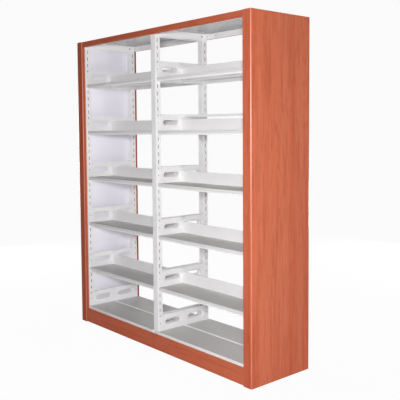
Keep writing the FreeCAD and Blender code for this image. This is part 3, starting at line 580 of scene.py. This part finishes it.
ZINC = (152, 152, 156)
ROUND_SIDES = 24
BOLT_WIDTH = 0.010
BOLT_HEIGHT = 0.004
BOLT_RADIUS = 0.003
THREAD_PITCH = 0.001
THREAD_DEPTH = 0.0003
HEXAGON_FLAT = 0.95           # share of a hexagon's width that its round flat keeps
HEXAGON_SLOPE = math.tan(math.radians(30))
SCREW_RADIUS = 0.002
SCREW_HEAD_RADIUS = 0.004
SCREW_HEAD_HEIGHT = 0.0025
SCREW_PITCH = 0.0018
SCREW_THREAD_DEPTH = 0.0005
SCREW_THREAD_START = 0.002
SCREW_THREAD_SHARE = 0.8
SCREW_TIP = 0.0003
SCREW_DOME = ((0.96, 0.0), (1.0, 0.15), (0.98, 0.5), (0.9, 0.8), (0.78, 0.95), (0.66, 1.0))
CROSS_REACH = 0.0021
CROSS_HALF = 0.00045
CROSS_DEPTH = 0.0013
CROSS_TAPER = 0.6


def zinc_plate(name, shade):
    """Plated steel with the faint cloudy patches of its passivation."""
    material, tree, shader = new_material(name)
    cloud = even_noise(tree, own_place(tree), 180.0, detail=3.0)
    toned = tinted(tree, colour(*shade), ramped(tree, cloud, 0.3, 0.7, 0.8, 1.15))
    tree.links.new(toned, shader["Base Color"])
    tree.links.new(ramped(tree, cloud, 0.3, 0.7, 0.28, 0.45), shader["Roughness"])
    shader["Metallic"].default_value = 1.0
    return material


def solids_of(node):
    """Low and high corner of each separate solid in a CAD node, in a steady order."""
    bm = solid_of(node)
    waiting = set(bm.verts)
    boxes = []
    while waiting:
        reached = [waiting.pop()]
        for vert in reached:
            for edge in vert.link_edges:
                other = edge.other_vert(vert)
                if other in waiting:
                    waiting.remove(other)
                    reached.append(other)
        low = [round(min(vert.co[axis] for vert in reached), 6) for axis in range(3)]
        high = [round(max(vert.co[axis] for vert in reached), 6) for axis in range(3)]
        boxes.append((low, high))
    bm.free()
    return [(Vector(low), Vector(high)) for low, high in sorted(boxes)]


def set_at(place, axis):
    """Frame whose Z points along axis from place."""
    return Matrix.Translation(place) @ axis.to_track_quat("Z", "Y").to_matrix().to_4x4()


def ringed(bm, place, rings, open_top=False):
    """Closed form made of rings; each ring has a (radius, height) for every step of angle."""
    loops = []
    for ring in rings:
        loop = []
        for step, (radius, height) in enumerate(ring):
            angle = 2 * math.pi * step / len(ring)
            spot = Vector((radius * math.cos(angle), radius * math.sin(angle), height))
            loop.append(bm.verts.new(place @ spot))
        loops.append(loop)
    for low, high in zip(loops, loops[1:]):
        for one, two, three, four in zip(low, low[1:] + low[:1], high[1:] + high[:1], high):
            bm.faces.new((one, two, three, four))
    bm.faces.new(loops[0][::-1])
    if not open_top:
        bm.faces.new(loops[-1])
    return loops[-1]


def turned(bm, place, profile, open_top=False):
    """Form turned round an axis from a list of (radius, height)."""
    return ringed(bm, place, [[point] * ROUND_SIDES for point in profile], open_top)


def threaded(radius, depth, pitch, start, end):
    """Profile of a thread's crests and roots between two heights."""
    points = [(radius - depth, start)]
    turns = max(1, round((end - start) / pitch))
    for turn in range(turns):
        points.append((radius, start + (turn + 0.5) * (end - start) / turns))
        points.append((radius - depth, start + (turn + 1) * (end - start) / turns))
    return points


def hexagon(bm, place, width, height, both_ends=False):
    """Hexagon whose corners are turned down to a round flat at the top, or at both ends."""
    flat = HEXAGON_FLAT * width / 2
    outer = []
    for step in range(ROUND_SIDES):
        off_middle = (360 * step / ROUND_SIDES + 30) % 60 - 30
        outer.append(width / 2 / math.cos(math.radians(off_middle)))
    foot = [[(radius, 0) for radius in outer]]
    if both_ends:
        foot = [[(flat, 0)] * ROUND_SIDES,
                [(radius, (radius - flat) * HEXAGON_SLOPE) for radius in outer]]
    top = [[(radius, height - (radius - flat) * HEXAGON_SLOPE) for radius in outer],
           [(flat, height)] * ROUND_SIDES]
    ringed(bm, place, foot + top)


def tie_bolt_set():
    """Every bolt with its head on the bay side of a channel, and its nut inside the upright's lug."""
    bm = bmesh.new()
    for low, high in solids_of("tie_bolts"):
        middle = (low + high) / 2
        home = min(FRAMES.values(), key=lambda x: abs(x - middle.x))
        out = Vector((math.copysign(1, middle.x - home), 0, 0))
        length = high.x - low.x
        start = middle - out * length / 2
        if length < 1.5 * BOLT_HEIGHT:
            hexagon(bm, set_at(start, out), BOLT_WIDTH, BOLT_HEIGHT, both_ends=True)
            continue
        hexagon(bm, set_at(start + out * (length - BOLT_HEIGHT), out), BOLT_WIDTH, BOLT_HEIGHT)
        thread = threaded(BOLT_RADIUS, THREAD_DEPTH, THREAD_PITCH, 0.0, length - BOLT_HEIGHT)
        turned(bm, set_at(start, out), thread)
    return finished_mesh("tie_bolts", bm)


def cross_recess(bm, place, rim, height):
    """Fills a head's flat top, whose rim is given, round a tapered cross-shaped recess."""
    corners = [(CROSS_REACH, -CROSS_HALF), (CROSS_REACH, CROSS_HALF), (CROSS_HALF, CROSS_HALF)]
    outline = []
    for quarter in range(4):
        turn = Matrix.Rotation(math.radians(90 * quarter), 2)
        outline += [turn @ Vector(corner) for corner in corners]
    top = [bm.verts.new(place @ Vector((spot.x, spot.y, height))) for spot in outline]
    floor = [bm.verts.new(place @ Vector((*(CROSS_TAPER * spot), height - CROSS_DEPTH)))
             for spot in outline]
    edges = [bm.edges.new(pair) for pair in zip(top, top[1:] + top[:1])]
    edges += [bm.edges.get(pair) for pair in zip(rim, rim[1:] + rim[:1])]
    bmesh.ops.triangle_fill(bm, use_beauty=True, edges=edges)
    for one, two, three, four in zip(top, top[1:] + top[:1], floor[1:] + floor[:1], floor):
        bm.faces.new((one, two, three, four))
    bm.faces.new(floor)


def wood_screw_set():
    """Every pan-head screw with its head on the inside and its point in a panel or a board."""
    bm = bmesh.new()
    for low, high in solids_of("wood_screws"):
        middle = (low + high) / 2
        size = high - low
        axis = 0 if size.x > size.y else 1
        into = Vector((0, 0, 0))
        into[axis] = math.copysign(1, middle[axis])
        head = middle - into * (size[axis] / 2 - SCREW_HEAD_HEIGHT)
        shank = size[axis] - SCREW_HEAD_HEIGHT
        profile = threaded(SCREW_RADIUS, SCREW_THREAD_DEPTH, SCREW_PITCH, SCREW_THREAD_START,
                           SCREW_THREAD_SHARE * shank)
        neck = [(SCREW_RADIUS, -0.0005)]
        turned(bm, set_at(head, into), neck + profile + [(SCREW_TIP, shank)])
        dome = [(SCREW_HEAD_RADIUS * across, SCREW_HEAD_HEIGHT * up) for across, up in SCREW_DOME]
        seat = set_at(head, -into)
        cross_recess(bm, seat, turned(bm, seat, dome, open_top=True), SCREW_HEAD_HEIGHT)
    bmesh.ops.recalc_face_normals(bm, faces=bm.faces)
    return finished_mesh("wood_screws", bm)


hardware_zinc = zinc_plate("hardware_zinc", ZINC)
stands_for(tie_bolt_set(), "tie_bolts", hardware_zinc)
stands_for(wood_screw_set(), "wood_screws", hardware_zinc)

# ---- Levelling feet ----------------------------------------------------------------------------
# A zinc-plated screw with a hexagon collar, moulded into a black plastic pad. It turns in the
# foot channel's floor to level the frame.

PAD_HEIGHT = 0.008
COLLAR_WIDTH = 0.020
COLLAR_TOP = 0.020
STEM_RADIUS = 0.005
STEM_PITCH = 0.0015
STEM_THREAD_DEPTH = 0.0005
STEM_TIP = 0.0038
PAD_BLACK = (34, 34, 36)


def moulded_plastic(name, shade):
    """Matt moulded plastic with a fine spark-eroded texture."""
    material, tree, shader = new_material(name)
    grit = even_noise(tree, own_place(tree), 900.0)
    toned = tinted(tree, colour(*shade), ramped(tree, grit, 0.3, 0.7, 0.85, 1.2))
    tree.links.new(toned, shader["Base Color"])
    tree.links.new(ramped(tree, grit, 0.3, 0.7, 0.5, 0.65), shader["Roughness"])
    tree.links.new(raised(tree, grit, 0.2, 0.0003), shader["Normal"])
    return material


def levelling_foot_set():
    bm = bmesh.new()
    for low, high in solids_of("levelling_feet"):
        middle = (low + high) / 2
        radius = (high.x - low.x) / 2
        floor_spot = Matrix.Translation((middle.x, middle.y, low.z))
        turned(bm, floor_spot, [(0.94 * radius, 0.0), (radius, 0.0012), (radius, 0.6 * PAD_HEIGHT),
                                (0.94 * radius, 0.85 * PAD_HEIGHT), (0.7 * radius, PAD_HEIGHT)])
        collar = floor_spot @ Matrix.Translation((0, 0, PAD_HEIGHT))
        hexagon(bm, collar, COLLAR_WIDTH, COLLAR_TOP - PAD_HEIGHT, both_ends=True)
        top = high.z - low.z
        thread = threaded(STEM_RADIUS, STEM_THREAD_DEPTH, STEM_PITCH, COLLAR_TOP, top - 0.001)
        turned(bm, floor_spot, [(STEM_RADIUS, PAD_HEIGHT)] + thread + [(STEM_TIP, top)])
    return finished_mesh("levelling_feet", bm)


def on_pad(centre, normal):
    """The pad's sides and foot, and its top, which lies level with the collar's own foot."""
    above = centre.z - PAD_HEIGHT
    return above < -1e-5 or (above < 1e-5 and normal.z > 0.5)


piece = levelling_foot_set()
stands_for(piece, "levelling_feet", hardware_zinc)
second_finish(piece, moulded_plastic("foot_pad_plastic", PAD_BLACK), on_pad)

# ---- Dowels ------------------------------------------------------------------------------------
# Fluted beech pins that hold the boards' ends in the noses.

FLUTE_DEPTH = 0.00025
DOWEL_TAPER = 0.001
DOWEL_END_SHARE = 0.8
BEECH = (222, 184, 138)
BEECH_DARK = (190, 146, 100)


def beech():
    """Plain pale wood with short dark flecks along the pin."""
    material, tree, shader = new_material("beech")
    flecks = stretched_noise(tree, own_place(tree), (90.0, 900.0, 900.0), detail=2.0)
    shade = mixed(tree, ramped(tree, flecks, 0.5, 0.7), colour(*BEECH), colour(*BEECH_DARK))
    tree.links.new(shade, shader["Base Color"])
    tree.links.new(ramped(tree, flecks, 0.3, 0.7, 0.6, 0.75), shader["Roughness"])
    return material


def dowel_set():
    bm = bmesh.new()
    for low, high in solids_of("dowels"):
        middle = (low + high) / 2
        radius = (high.z - low.z) / 2
        length = high.x - low.x
        place = set_at(Vector((low.x, middle.y, middle.z)), Vector((1, 0, 0)))
        rings = []
        for share, height in ((DOWEL_END_SHARE, 0.0), (1.0, DOWEL_TAPER),
                              (1.0, length - DOWEL_TAPER), (DOWEL_END_SHARE, length)):
            crest = radius * share
            rings.append([(crest, height), (crest - FLUTE_DEPTH, height)] * (ROUND_SIDES // 2))
        ringed(bm, place, rings)
    return finished_mesh("dowels", bm)


stands_for(dowel_set(), "dowels", beech())

# ---- Room: floor, light and camera -------------------------------------------------------------
# A white floor that keeps the unit's faint shadow, a white surround, a lamp just beside the camera,
# and weaker ones behind, at the left and above, so that every side is lit as well.

CAMERA_PLACE = Vector((3.6021, -2.9161, 1.5194))
CAMERA_HEADING = math.radians(49.3129)
CAMERA_TILT = math.radians(-3.6762)
CAMERA_ROLL = math.radians(-0.412)
CAMERA_LENS = 59.09
CAMERA_SENSOR = 36.0
CAMERA_SHIFT = -0.07126
FLOOR_REACH = 30.0
GLOW_SHARE = 0.96             # how much of the floor and the surround is seen as plain white
SURROUND_LEVEL = 0.04
LAMPS = {                     # place, target, width, height, power
    "front_lamp": ((3.45, -2.94, 1.68), (0, 0, 1.15), 0.6, 0.55, 161.0),
    "rear_lamp": ((-0.4, 4.8, 0.7), (0, 0, 1.1), 1.6, 1.0, 140.0),
    "side_lamp": ((-4.6, 0.3, 1.2), (-0.9, 0, 1.1), 0.4, 1.8, 95.0),
    "top_lamp": ((0, 0, 3.3), (0, 0, 2.2), 1.7, 0.5, 15.0)}


def white_to_camera(tree, output, shader, share):
    """A surface that the camera, mirrors and glass see mostly as white, and light sees as it is."""
    path = wire(tree, "ShaderNodeLightPath").outputs
    seen = math_node(tree, "MAXIMUM", path["Is Camera Ray"], path["Is Glossy Ray"])
    seen = math_node(tree, "MAXIMUM", seen, path["Is Transmission Ray"])
    glow = wire(tree, "ShaderNodeEmission", {"Color": (1, 1, 1, 1), "Strength": 1.0})
    mix = wire(tree, "ShaderNodeMixShader", {0: math_node(tree, "MULTIPLY", seen, share)})
    tree.links.new(shader, mix.inputs[1])
    tree.links.new(glow.outputs[0], mix.inputs[2])
    tree.links.new(mix.outputs[0], output)


def floor():
    bm = bmesh.new()
    bmesh.ops.create_grid(bm, x_segments=1, y_segments=1, size=FLOOR_REACH)
    mesh = bpy.data.meshes.new("floor")
    bm.to_mesh(mesh)
    bm.free()
    piece = bpy.data.objects.new("floor", mesh)
    bpy.context.scene.collection.objects.link(piece)
    material, tree, shader = new_material("floor_white")
    shader["Base Color"].default_value = (0.9, 0.9, 0.9, 1)
    shader["Roughness"].default_value = 0.9
    shader["Specular IOR Level"].default_value = 0.1
    output = tree.nodes["Material Output"].inputs["Surface"]
    white_to_camera(tree, output, tree.nodes["Principled BSDF"].outputs[0], GLOW_SHARE)
    piece.data.materials.append(material)


def lamp(name, place, target, width, height, power):
    light = bpy.data.lights.new(name, "AREA")
    light.shape = "RECTANGLE"
    light.size = width
    light.size_y = height
    light.energy = power
    holder = bpy.data.objects.new(name, light)
    holder.location = place
    holder.rotation_euler = (Vector(target) - Vector(place)).to_track_quat("-Z", "Y").to_euler()
    holder.visible_camera = False
    bpy.context.scene.collection.objects.link(holder)


def surround():
    world = bpy.data.worlds.new("surround")
    bpy.context.scene.world = world
    world.use_nodes = True
    tree = world.node_tree
    tree.nodes.clear()
    output = tree.nodes.new("ShaderNodeOutputWorld").inputs["Surface"]
    light = wire(tree, "ShaderNodeBackground", {"Color": (1, 1, 1, 1), "Strength": SURROUND_LEVEL})
    white_to_camera(tree, output, light.outputs[0], GLOW_SHARE)


def camera():
    data = bpy.data.cameras.new("camera")
    data.sensor_width = CAMERA_SENSOR
    data.lens = CAMERA_LENS
    data.shift_y = CAMERA_SHIFT
    heading, tilt, roll = CAMERA_HEADING, CAMERA_TILT, CAMERA_ROLL
    ahead = Vector((-math.sin(heading) * math.cos(tilt), math.cos(heading) * math.cos(tilt),
                    math.sin(tilt)))
    level = Vector((math.cos(heading), math.sin(heading), 0))
    upward = level.cross(ahead)
    right = level * math.cos(roll) + upward * math.sin(roll)
    up = upward * math.cos(roll) - level * math.sin(roll)
    holder = bpy.data.objects.new("camera", data)
    turn = Matrix((right, up, -ahead)).transposed()
    holder.matrix_world = Matrix.Translation(CAMERA_PLACE) @ turn.to_4x4()
    bpy.context.scene.collection.objects.link(holder)
    bpy.context.scene.camera = holder


floor()
surround()
for name, values in LAMPS.items():
    lamp(name, *values)
camera()
bpy.context.scene.view_settings.view_transform = "Standard"
